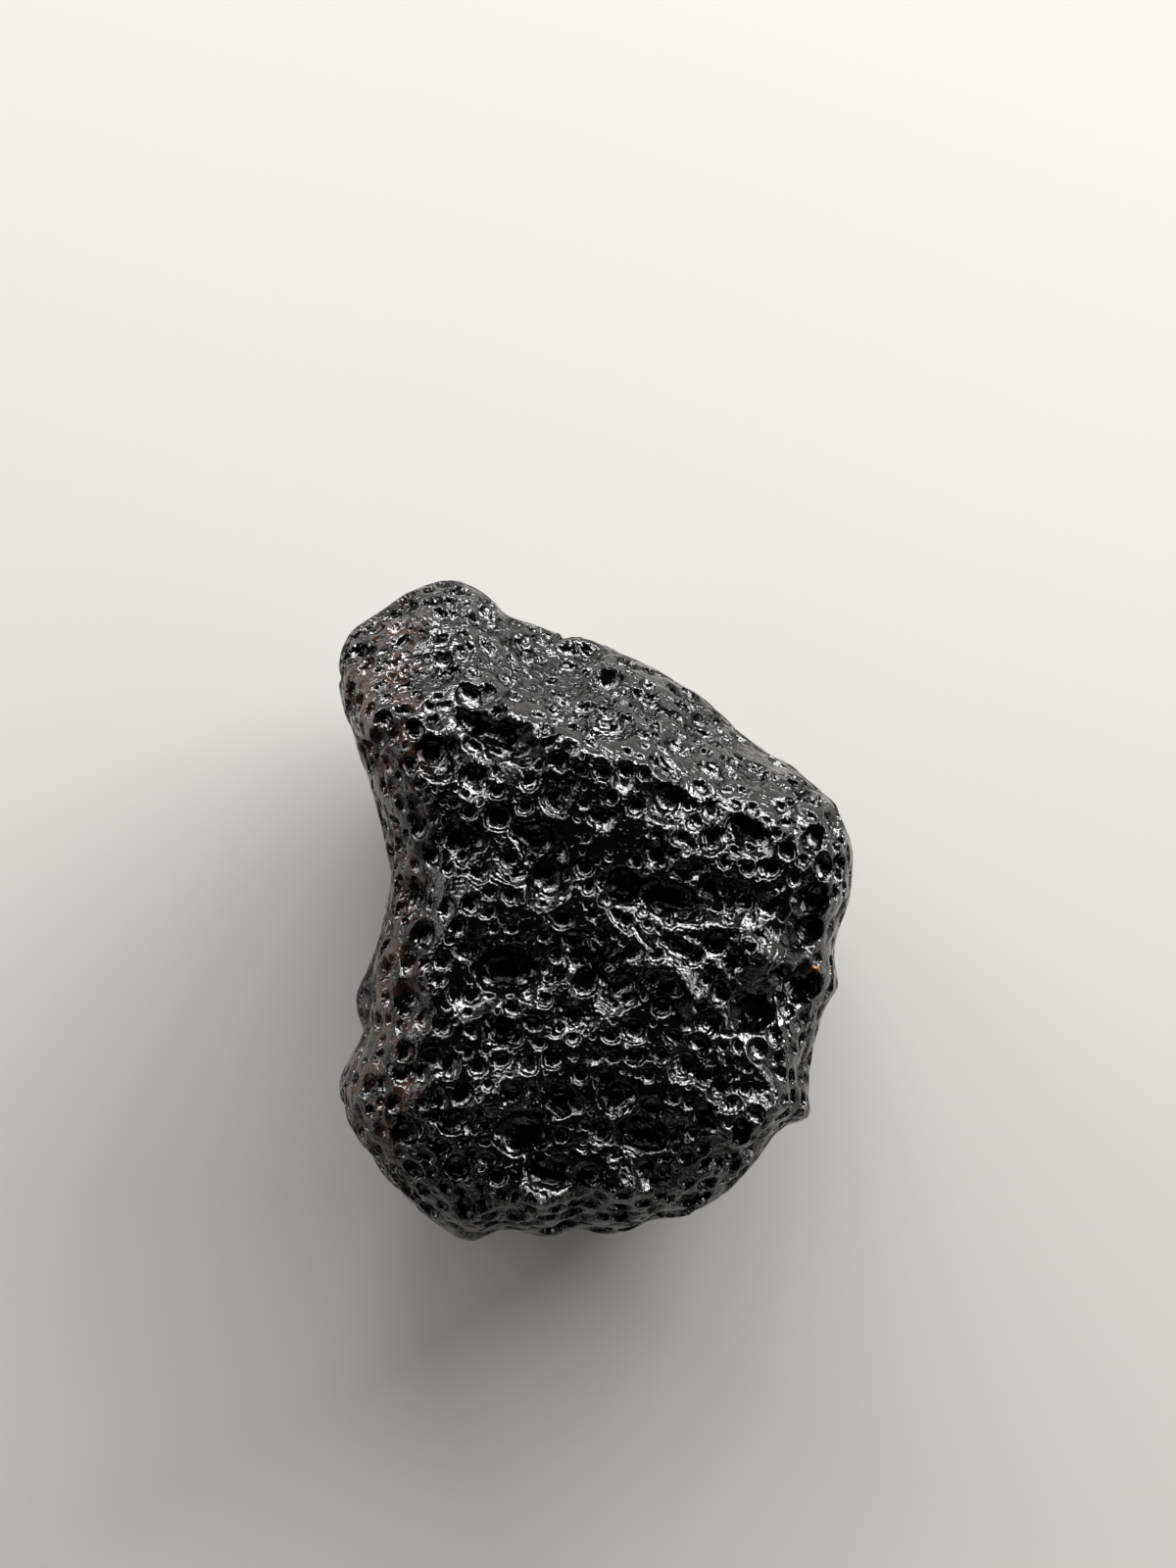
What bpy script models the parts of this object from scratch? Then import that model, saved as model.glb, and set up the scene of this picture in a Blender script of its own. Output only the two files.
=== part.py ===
"""A tektite: one lump of black natural glass, etched all over with round bubble pits.

The stone lies on its back, so its best face looks up. +X is to the right of that face,
+Y points to the knob at its upper end and +Z is up. The origin is on the surface that
the stone rests on, under the middle of its outline. Sizes are in millimetres here, and
the mesh is turned into metres at the end.
"""

import math
from collections import namedtuple

import bmesh
import bpy
import numpy as np
from mathutils import Vector, noise
from mathutils.bvhtree import BVHTree

NAME = "tektite"
METRES_PER_MM = 0.001

# Overall size of the stone.
WIDTH = 16.8
LENGTH = 21.6
THICKNESS = 12.0

# The section through the stone: a superellipse that is squarer on the face than on the back.
GIRDLE_HEIGHT = 4.9
FACE_HEIGHT = 11.6
FACE_SQUARENESS = 3.6
BACK_SQUARENESS = 2.2
MIDDLE = (0.2, -0.4)

# The back is worn flat where the stone rests.
REST_FLAT_DEPTH = 0.3
REST_LEVEL = 0.0

# The outline at the girdle, seen on the face, counterclockwise from the right-hand side.
OUTLINE = (
    (8.1, -0.4), (8.4, 0.9), (8.3, 2.5), (7.75, 4.0), (6.5, 4.9), (4.9, 5.6),
    (3.1, 7.35), (1.75, 8.4), (-0.1, 9.25), (-1.5, 9.6), (-2.9, 10.1), (-3.6, 10.8),
    (-4.6, 11.1), (-5.7, 10.65), (-6.8, 10.0), (-8.0, 9.1), (-8.3, 7.7), (-7.9, 6.0),
    (-7.2, 4.1), (-6.75, 2.2), (-6.7, 0.9), (-6.9, -0.4), (-7.3, -1.7), (-7.5, -3.1),
    (-7.5, -3.9), (-7.85, -4.8), (-8.1, -5.8), (-7.8, -7.2), (-6.95, -8.7),
    (-5.65, -10.2), (-4.3, -11.0), (-3.1, -10.6), (-1.6, -10.75), (-0.6, -10.35),
    (0.4, -10.5), (1.9, -10.15), (3.65, -9.85), (5.1, -8.75), (5.85, -7.45), (6.2, -6.95),
    (6.95, -6.65), (6.95, -5.8), (7.35, -4.5), (7.7, -3.3), (8.15, -2.4), (8.05, -1.5),
)
OUTLINE_STEPS_PER_SPAN = 12

# The slope that falls away behind the crest, at the upper right of the face.
Slope = namedtuple("Slope", "x y facing fall height blend")
BACK_SLOPE = Slope(x=-1.4, y=6.3, facing=math.radians(79), fall=1.2, height=10.7, blend=0.35)

# Broad swells (height above 0) and dips (below 0) of the face. Turn is counterclockwise.
Swell = namedtuple("Swell", "x y height length width turn")
SWELLS = (
    # The knob and the ridge that runs down from it.
    Swell(-5.3, 7.7, 0.65, 2.3, 1.4, -5),
    Swell(-4.9, 9.7, 2.0, 1.9, 1.1, 0),
    Swell(-3.2, 7.2, 0.8, 1.8, 0.65, -40),
    Swell(-1.1, 6.1, 0.8, 1.5, 0.6, -50),
    Swell(-1.1, 8.1, -1.1, 1.3, 1.0, -35),
    Swell(-3.2, 5.5, -0.4, 2.3, 0.9, -28),
    # The crest along the top of the face and down its right-hand side.
    Swell(1.5, 5.3, 0.3, 1.8, 0.6, -5),
    Swell(7.1, 1.6, 0.4, 0.8, 2.4, 0),
    # The troughs and their brighter lower walls.
    Swell(-2.9, 2.4, -0.3, 2.6, 1.2, 0),
    Swell(2.3, 0.8, -0.6, 2.4, 0.85, -12),
    Swell(2.3, -1.8, 0.45, 1.1, 0.5, -38),
    Swell(5.25, -1.1, 0.6, 1.6, 0.55, -28),
    Swell(3.5, -2.8, 0.35, 0.7, 0.4, -20),
    Swell(5.7, -2.9, -0.8, 1.5, 0.8, 5),
    Swell(5.9, -4.75, 0.4, 0.8, 0.45, 10),
    Swell(5.4, -6.5, 1.9, 1.3, 0.8, 8),
    Swell(-2.8, -1.6, -0.5, 1.3, 0.9, 0),
    Swell(-2.7, -2.95, 0.4, 1.5, 0.35, 0),
    Swell(-3.1, -5.6, 0.5, 1.4, 0.45, 25),
    Swell(-2.3, -7.1, -0.3, 1.3, 0.8, 0),
    Swell(-1.8, -9.2, 1.2, 1.2, 0.65, -5),
    Swell(1.5, -6.9, -0.3, 1.3, 0.8, -15),
    Swell(0.9, -8.6, 0.7, 1.0, 0.45, -20),
)

# Lumps that stand out of the flanks, given by where they are around the stone.
Lump = namedtuple("Lump", "x y z height reach")
FLANK_LUMPS = (
    Lump(-7.2, -2.5, 3.6, 0.9, 1.2),
    Lump(-7.8, -5.4, 3.8, 0.6, 1.3),
    Lump(7.1, -6.5, 5.6, 0.2, 0.8),
    Lump(-4.6, 10.6, 5.6, 0.2, 1.3),
    Lump(3.6, 6.2, 3.0, 0.4, 2.0),
    Lump(-2.0, -10.2, 3.0, 0.3, 1.8),
)

# The hollows that mark the face, each the lower half of an ellipsoid sunk into it.
Hollow = namedtuple("Hollow", "x y length width turn depth")
FACE_HOLLOWS = (
    # The knob and the long cleft below it.
    Hollow(-3.0, 5.9, 1.5, 0.55, -28, 0.6),
    Hollow(-5.05, 5.1, 0.66, 0.62, 0, 0.6),
    Hollow(-5.1, 6.5, 0.4, 0.38, 0, 0.35),
    Hollow(-6.55, 6.1, 0.45, 0.4, 0, 0.35),
    Hollow(-4.75, 8.0, 0.45, 0.38, 20, 0.35),
    Hollow(-6.3, 7.95, 0.5, 0.36, 10, 0.35),
    Hollow(-5.1, 9.9, 0.6, 0.35, 15, 0.35),
    Hollow(-4.05, 9.85, 0.36, 0.36, 0, 0.3),
    Hollow(-3.75, 4.3, 0.5, 0.45, 0, 0.45),
    # The upper half of the face.
    Hollow(-4.25, 2.45, 0.6, 0.5, 70, 0.5),
    Hollow(-1.8, 2.45, 0.65, 0.5, 10, 0.55),
    Hollow(-1.45, 1.25, 0.68, 0.68, 0, 0.85),
    Hollow(-2.6, 1.6, 0.4, 0.36, 0, 0.35),
    Hollow(-1.25, 3.7, 0.4, 0.4, 0, 0.35),
    Hollow(0.95, 4.5, 0.4, 0.36, 60, 0.3),
    Hollow(0.25, 3.2, 0.42, 0.4, 0, 0.35),
    Hollow(2.4, 3.65, 0.75, 0.55, 0, 0.4),
    Hollow(5.2, 4.6, 0.45, 0.4, 0, 0.4),
    Hollow(4.95, 2.6, 0.95, 0.45, -35, 0.55),
    Hollow(3.75, 2.45, 0.42, 0.4, 0, 0.4),
    Hollow(2.0, 1.95, 0.5, 0.6, 0, 0.45),
    Hollow(3.35, 1.55, 0.38, 0.36, 0, 0.3),
    Hollow(7.0, 2.5, 0.5, 0.4, 60, 0.45),
    # The middle band.
    Hollow(0.95, 1.0, 0.62, 0.55, 0, 0.6),
    Hollow(2.6, 0.55, 1.1, 0.52, -15, 0.7),
    Hollow(6.9, 0.45, 0.7, 0.6, 70, 0.65),
    Hollow(6.75, -0.6, 0.6, 0.55, 0, 0.55),
    Hollow(6.6, -2.35, 0.8, 0.75, 0, 0.9),
    Hollow(5.1, -3.1, 0.85, 0.55, 5, 0.75),
    Hollow(4.0, -0.9, 0.7, 0.5, -10, 0.45),
    Hollow(-2.75, -1.7, 1.1, 0.8, 0, 0.7),
    Hollow(-2.95, -3.65, 0.55, 0.5, 0, 0.5),
    Hollow(-6.0, -1.1, 0.45, 0.4, 0, 0.35),
    # The scalloped lower half.
    Hollow(-5.1, -4.6, 0.45, 0.4, 0, 0.4),
    Hollow(-6.0, -5.0, 0.45, 0.4, 0, 0.4),
    Hollow(-1.1, -5.9, 0.6, 0.55, 0, 0.6),
    Hollow(-2.3, -6.9, 0.95, 0.75, 0, 0.5),
    Hollow(-4.4, -6.5, 0.55, 0.45, 0, 0.5),
    Hollow(-5.8, -6.9, 0.6, 0.4, 10, 0.45),
    Hollow(0.7, -5.8, 0.65, 0.55, -20, 0.6),
    Hollow(1.55, -7.0, 0.9, 0.6, -15, 0.5),
    Hollow(4.7, -6.8, 0.4, 0.6, -10, 0.6),
    Hollow(3.5, -6.6, 0.4, 0.38, 0, 0.35),
    Hollow(4.0, -5.5, 0.45, 0.4, 20, 0.4),
    Hollow(-1.4, -8.4, 0.8, 0.42, 0, 0.5),
    Hollow(5.9, -4.6, 0.5, 0.42, 0, 0.4),
    Hollow(3.6, -3.4, 0.6, 0.5, 0, 0.4),
    Hollow(1.2, -3.6, 0.5, 0.42, 0, 0.35),
)

# The two straight grooves that run down the middle of the face.
Groove = namedtuple("Groove", "x1 y1 x2 y2 width depth")
GROOVES = (
    Groove(-0.6, -0.7, 0.55, -2.3, 0.34, 0.32),
    Groove(-0.05, -0.6, 1.2, -2.3, 0.34, 0.28),
)

# Smaller pits are scattered over the whole stone.
SCATTER_SEED = 7
SCATTER_COUNT = 200
SCATTER_RADIUS = (0.4, 0.8)
SCATTER_SPACING = 1.25
SCATTER_DEPTH_SHARE = 0.62
SCATTER_STRETCH = (0.8, 1.0)
SCATTER_TRIES = 6000
SCATTER_CLEARANCE = 0.15
FACE_LEAST_UP = 0.5
NEARLY_PARALLEL = 0.9

# Uneven growth of the glass: (size of a wave, its height).
UNEVENNESS = ((4.2, 0.42), (1.7, 0.16))

SPHERE_SUBDIVISIONS = 7
GRID_SIZE = 0.12
SOFTENING_ROUNDS = 2
TARGET_TRIANGLES = 9700

GLASS_COLOUR = (0.006, 0.006, 0.007, 1.0)
GLASS_ROUGHNESS = 0.18
GLASS_IOR = 1.5


def clear_scene():
    for thing in list(bpy.data.objects):
        bpy.data.objects.remove(thing, do_unlink=True)


def closed_curve(points, steps):
    """Points along a closed Catmull-Rom curve through the given ones."""
    knots = np.array(points, float)
    before, after, next_after = (np.roll(knots, shift, axis=0) for shift in (1, -1, -2))
    along = (np.arange(steps) / steps)[:, None, None]
    curve = 0.5 * (
        2 * knots
        + (after - before) * along
        + (2 * before - 5 * knots + 4 * after - next_after) * along**2
        + (3 * knots - before - 3 * after + next_after) * along**3
    )
    return curve.transpose(1, 0, 2).reshape(-1, 2)


def outline_reach(angles):
    """How far the outline is from the middle of the stone, at each angle."""
    curve = closed_curve(OUTLINE, OUTLINE_STEPS_PER_SPAN) - np.array(MIDDLE)
    curve_angles = np.arctan2(curve[:, 1], curve[:, 0])
    return np.interp(angles, *sorted_pairs(curve_angles, np.hypot(*curve.T)), period=2 * math.pi)


def sorted_pairs(keys, values):
    order = np.argsort(keys)
    return keys[order], values[order]


def oval_distance(x, y, form):
    """0 in the middle of an oval form and 1 on its edge."""
    turn = math.radians(form.turn)
    along = (x - form.x) * math.cos(turn) + (y - form.y) * math.sin(turn)
    across = (y - form.y) * math.cos(turn) - (x - form.x) * math.sin(turn)
    return np.hypot(along / form.length, across / form.width)


def soft_minimum(first, second, blend):
    share = np.clip(0.5 + 0.5 * (second - first) / blend, 0, 1)
    return second * (1 - share) + first * share - blend * share * (1 - share)


def face_level(x, y):
    """The height of the face over each point, before it rounds off to the girdle."""
    beyond = (x - BACK_SLOPE.x) * math.cos(BACK_SLOPE.facing) + (y - BACK_SLOPE.y) * math.sin(
        BACK_SLOPE.facing
    )
    slope = BACK_SLOPE.height - BACK_SLOPE.fall * beyond
    level = soft_minimum(np.full_like(x, FACE_HEIGHT), slope, BACK_SLOPE.blend)
    for swell in SWELLS:
        level = level + swell.height * np.exp(-oval_distance(x, y, swell) ** 2)
    return level


def superellipse(directions, squareness):
    """Shares of the reach outwards and of the height, for each direction."""
    out = np.hypot(directions[:, 0], directions[:, 1])
    up = np.abs(directions[:, 2])
    size = (out**squareness + up**squareness) ** (1 / squareness)
    return out / size, up / size


def stone_points(directions):
    """The smooth stone: one point for each direction from its middle."""
    angles = np.arctan2(directions[:, 1], directions[:, 0])
    on_face = directions[:, 2] > 0
    face_out, face_up = superellipse(directions, FACE_SQUARENESS)
    back_out, back_up = superellipse(directions, BACK_SQUARENESS)
    reach = outline_reach(angles) * np.where(on_face, face_out, back_out)
    x = MIDDLE[0] + reach * np.cos(angles)
    y = MIDDLE[1] + reach * np.sin(angles)
    above = GIRDLE_HEIGHT + (face_level(x, y) - GIRDLE_HEIGHT) * face_up
    below = GIRDLE_HEIGHT - (GIRDLE_HEIGHT + REST_FLAT_DEPTH) * back_up
    points = np.column_stack((x, y, np.where(on_face, above, below)))
    outwards = points - (*MIDDLE, GIRDLE_HEIGHT)
    outwards /= np.linalg.norm(outwards, axis=1)[:, None]
    for lump in FLANK_LUMPS:
        far = np.linalg.norm(points - (lump.x, lump.y, lump.z), axis=1) / lump.reach
        points += outwards * (lump.height * np.exp(-(far**2)))[:, None]
    return points + outwards * unevenness(points)[:, None]


def unevenness(points):
    total = np.zeros(len(points))
    for size, height in UNEVENNESS:
        total += [height * noise.noise(Vector(point) / size) for point in points]
    return total


def vertex_array(mesh):
    points = np.empty(len(mesh.vertices) * 3, np.float32)
    mesh.vertices.foreach_get("co", points)
    return points.reshape(-1, 3).astype(float)


def write_vertices(mesh, points):
    mesh.vertices.foreach_set("co", points.astype(np.float32).ravel())
    mesh.update()


def normal_array(mesh):
    normals = np.empty(len(mesh.vertices) * 3, np.float32)
    mesh.vertices.foreach_get("normal", normals)
    return normals.reshape(-1, 3).astype(float)


def side_directions(axis, turn):
    """Two directions square to the axis, the first turned from +X."""
    first = Vector((math.cos(turn), math.sin(turn), 0.0))
    if abs(axis.dot(first)) > NEARLY_PARALLEL:
        first = Vector((0.0, 0.0, 1.0))
    across = axis.cross(first).normalized()
    return across.cross(axis).normalized(), across


def sink(points, centre, axis, form, turn=0.0):
    """Pushes the points over an ellipsoidal hollow down onto its floor."""
    along, across = side_directions(axis, turn)
    away = points - np.array(centre)
    height = away @ np.array(axis)
    share = np.hypot(away @ np.array(along) / form.length, away @ np.array(across) / form.width)
    near = (share < 1) & (np.abs(height) < form.depth + form.length)
    floor = -form.depth * np.sqrt(1 - share[near] ** 2)
    push = np.minimum(floor - height[near], 0)
    points[near] += push[:, None] * np.array(axis)


def sink_face_hollows(points, tree):
    for hollow in FACE_HOLLOWS:
        spot, normal, _, _ = tree.ray_cast(Vector((hollow.x, hollow.y, 2 * THICKNESS)), Vector((0, 0, -1)))
        lean = (normal + Vector((0, 0, 1))).normalized()
        sink(points, spot, lean, hollow, math.radians(hollow.turn))


def sink_grooves(points, tree):
    for groove in GROOVES:
        middle = Vector(((groove.x1 + groove.x2) / 2, (groove.y1 + groove.y2) / 2, 2 * THICKNESS))
        spot, normal, _, _ = tree.ray_cast(middle, Vector((0, 0, -1)))
        run = Vector((groove.x2 - groove.x1, groove.y2 - groove.y1))
        form = Hollow(spot.x, spot.y, run.length / 2, groove.width / 2, 0, groove.depth)
        sink(points, spot, normal, form, math.atan2(run.y, run.x))


def scatter_spots(points, normals):
    """Seeded random spots over the whole stone, kept apart and clear of the named hollows."""
    chance = np.random.default_rng(SCATTER_SEED)
    taken = [np.array((hollow.x, hollow.y)) for hollow in FACE_HOLLOWS]
    chosen = []
    for index in chance.permutation(len(points))[:SCATTER_TRIES]:
        point = points[index]
        on_face = normals[index][2] > FACE_LEAST_UP
        if on_face and min(np.linalg.norm(point[:2] - spot) for spot in taken) < SCATTER_SPACING:
            continue
        if any(np.linalg.norm(point - points[other]) < SCATTER_SPACING for other in chosen):
            continue
        if point[2] < REST_LEVEL + SCATTER_CLEARANCE:
            continue
        chosen.append(index)
        if len(chosen) == SCATTER_COUNT:
            break
    return chosen


def sink_scattered_pits(points, normals):
    chance = np.random.default_rng(SCATTER_SEED + 1)
    for index in scatter_spots(points, normals):
        radius = chance.uniform(*SCATTER_RADIUS)
        stretch = chance.uniform(*SCATTER_STRETCH)
        form = Hollow(0, 0, radius, radius * stretch, 0, radius * SCATTER_DEPTH_SHARE)
        sink(points, points[index].copy(), Vector(normals[index]), form, chance.uniform(0, math.pi))


def sphere_mesh():
    grid = bmesh.new()
    bmesh.ops.create_icosphere(grid, subdivisions=SPHERE_SUBDIVISIONS, radius=1.0)
    mesh = bpy.data.meshes.new(NAME)
    grid.to_mesh(mesh)
    grid.free()
    return mesh


def bvh_of(mesh):
    grid = bmesh.new()
    grid.from_mesh(mesh)
    tree = BVHTree.FromBMesh(grid)
    grid.free()
    return tree


def apply_modifiers(stone):
    graph = bpy.context.evaluated_depsgraph_get()
    mesh = bpy.data.meshes.new_from_object(stone.evaluated_get(graph))
    stone.modifiers.clear()
    replaced, stone.data = stone.data, mesh
    bpy.data.meshes.remove(replaced)
    mesh.name = NAME


def make_grid_even(stone):
    """Remakes the mesh with small triangles of one size, so that every pit is cut cleanly."""
    even = stone.modifiers.new("even", "REMESH")
    even.mode = "VOXEL"
    even.voxel_size = GRID_SIZE
    stone.modifiers.new("softened", "SMOOTH").iterations = SOFTENING_ROUNDS
    stone.modifiers.new("triangles", "TRIANGULATE")
    apply_modifiers(stone)


def thin(stone):
    """Collapses triangles, first where the surface is plain."""
    stone.modifiers.new("collapse", "DECIMATE").ratio = TARGET_TRIANGLES / len(stone.data.polygons)
    apply_modifiers(stone)


def fit_to_size(points):
    """Flattens the back where the stone rests, and brings the stone to its exact size."""
    points[:, 2] = np.maximum(points[:, 2], REST_LEVEL)
    low, high = points.min(axis=0), points.max(axis=0)
    size = np.array((WIDTH, LENGTH, THICKNESS))
    base = np.array(((low[0] + high[0]) / 2, (low[1] + high[1]) / 2, low[2]))
    return (points - base) * size / (high - low)


def glass_material():
    glass = bpy.data.materials.new("tektite_glass")
    glass.use_nodes = True
    shader = glass.node_tree.nodes["Principled BSDF"]
    shader.inputs["Base Color"].default_value = GLASS_COLOUR
    shader.inputs["Roughness"].default_value = GLASS_ROUGHNESS
    shader.inputs["Metallic"].default_value = 0.0
    shader.inputs["IOR"].default_value = GLASS_IOR
    glass.diffuse_color = GLASS_COLOUR
    return glass


def main():
    clear_scene()
    parts = bpy.data.collections.new(NAME)
    bpy.context.scene.collection.children.link(parts)
    stone = bpy.data.objects.new(NAME, sphere_mesh())
    parts.objects.link(stone)
    write_vertices(stone.data, stone_points(vertex_array(stone.data)))
    make_grid_even(stone)

    points, normals, tree = vertex_array(stone.data), normal_array(stone.data), bvh_of(stone.data)
    sink_scattered_pits(points, normals)
    sink_face_hollows(points, tree)
    sink_grooves(points, tree)
    write_vertices(stone.data, points)
    thin(stone)

    write_vertices(stone.data, fit_to_size(vertex_array(stone.data)) * METRES_PER_MM)
    stone.data.shade_smooth()
    stone.data.materials.append(glass_material())


main()
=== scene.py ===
"""The looks of a tektite: black natural glass, etched all over with bubble pits.

The stone's solid gives the form. This script copies it, refines the copy, cuts the
pits into it crisply, dresses it in natural glass and lights it on a pale floor.
"""

import logging
import math
from dataclasses import dataclass
from enum import Enum

import bmesh
import bpy
import numpy as np
from mathutils import Matrix, Vector, kdtree, noise
from mathutils.bvhtree import BVHTree


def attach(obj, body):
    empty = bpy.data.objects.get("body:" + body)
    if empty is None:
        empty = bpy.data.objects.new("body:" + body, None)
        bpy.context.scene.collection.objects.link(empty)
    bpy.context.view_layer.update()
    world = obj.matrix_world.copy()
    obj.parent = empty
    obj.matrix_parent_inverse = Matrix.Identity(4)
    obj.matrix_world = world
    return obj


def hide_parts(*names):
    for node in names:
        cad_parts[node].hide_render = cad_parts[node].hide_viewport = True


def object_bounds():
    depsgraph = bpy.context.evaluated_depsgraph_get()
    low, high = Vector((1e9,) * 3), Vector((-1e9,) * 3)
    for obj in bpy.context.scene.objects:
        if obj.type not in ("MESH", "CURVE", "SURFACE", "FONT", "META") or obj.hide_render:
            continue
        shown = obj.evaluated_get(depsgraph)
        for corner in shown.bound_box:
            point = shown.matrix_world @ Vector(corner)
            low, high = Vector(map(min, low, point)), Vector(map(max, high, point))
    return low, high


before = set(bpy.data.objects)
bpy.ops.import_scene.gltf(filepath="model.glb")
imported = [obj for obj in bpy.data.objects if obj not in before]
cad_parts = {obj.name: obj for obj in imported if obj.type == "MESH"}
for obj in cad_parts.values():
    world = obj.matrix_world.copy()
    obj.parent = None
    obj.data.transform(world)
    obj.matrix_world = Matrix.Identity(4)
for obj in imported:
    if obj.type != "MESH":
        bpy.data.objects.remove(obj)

CAD_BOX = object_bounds()
STONE_NODE = "tektite"
STONE_BODY = "root"
MM_PER_METRE = 1000.0
IMAGE_WIDTH_PX = 1200
IMAGE_HEIGHT_PX = 1600
DEPTH_ATTRIBUTE = "pit_depth"

MATHS = "ShaderNodeMath"
RANGE = "ShaderNodeMapRange"
NOISE = "ShaderNodeTexNoise"
SMOOTH_RANGE = {"interpolation_type": "SMOOTHSTEP"}
ADD = {"operation": "ADD"}
MULTIPLY = {"operation": "MULTIPLY"}

# A noise pattern's values spread over about half of the way from 0 to 1.
NOISE_STRETCH = 2.0

NEARLY_PARALLEL = 0.9

# The lower its power, the steeper a pit's wall. A stepped pit has a narrower one in its floor.
BOWL_POWER = 0.5
STEEP_POWER = 0.36
STEP_POWER = 0.3
INNER_POWER = 0.4
STEP_RADIUS = 0.7
STEP_DEPTH = 0.4

log = logging.getLogger("tektite")


@dataclass(frozen=True)
class Hollow:
    """An oval hollow sunk into the face, in millimetres, turned counterclockwise from +X."""

    x: float
    y: float
    length: float
    width: float
    turn: float
    depth: float


@dataclass(frozen=True)
class Groove:
    """A straight narrow groove in the face, in millimetres."""

    x1: float
    y1: float
    x2: float
    y2: float
    width: float
    depth: float


@dataclass(frozen=True)
class PitSize:
    """One size of scattered pit: its radii and depth share, and how many are tried."""

    least: float
    most: float
    depth_share: tuple[float, float]
    tries: int


@dataclass(frozen=True)
class PitLayer:
    """One size of the shader's pits, one pit to a cell, in millimetres and shares."""

    cell: float
    least_share: float
    most_share: float
    depth_share: float
    wall_power: float


@dataclass(frozen=True)
class Mottle:
    """A noise pattern: its repeats per millimetre, its detail, and where it starts and is full."""

    scale: float
    detail: float
    starts: float = 0.0
    full: float = 1.0

    def inputs(self, place: bpy.types.NodeSocket) -> dict[str | int, object]:
        """Gives the inputs of the pattern's node."""
        return {"Vector": place, "Scale": self.scale, "Detail": self.detail}

    def range_of(self, value: bpy.types.NodeSocket) -> dict[str | int, object]:
        """Gives the inputs of the node that spreads the pattern from 0 to 1."""
        return {"Value": value, "From Min": self.starts, "From Max": self.full}


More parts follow.
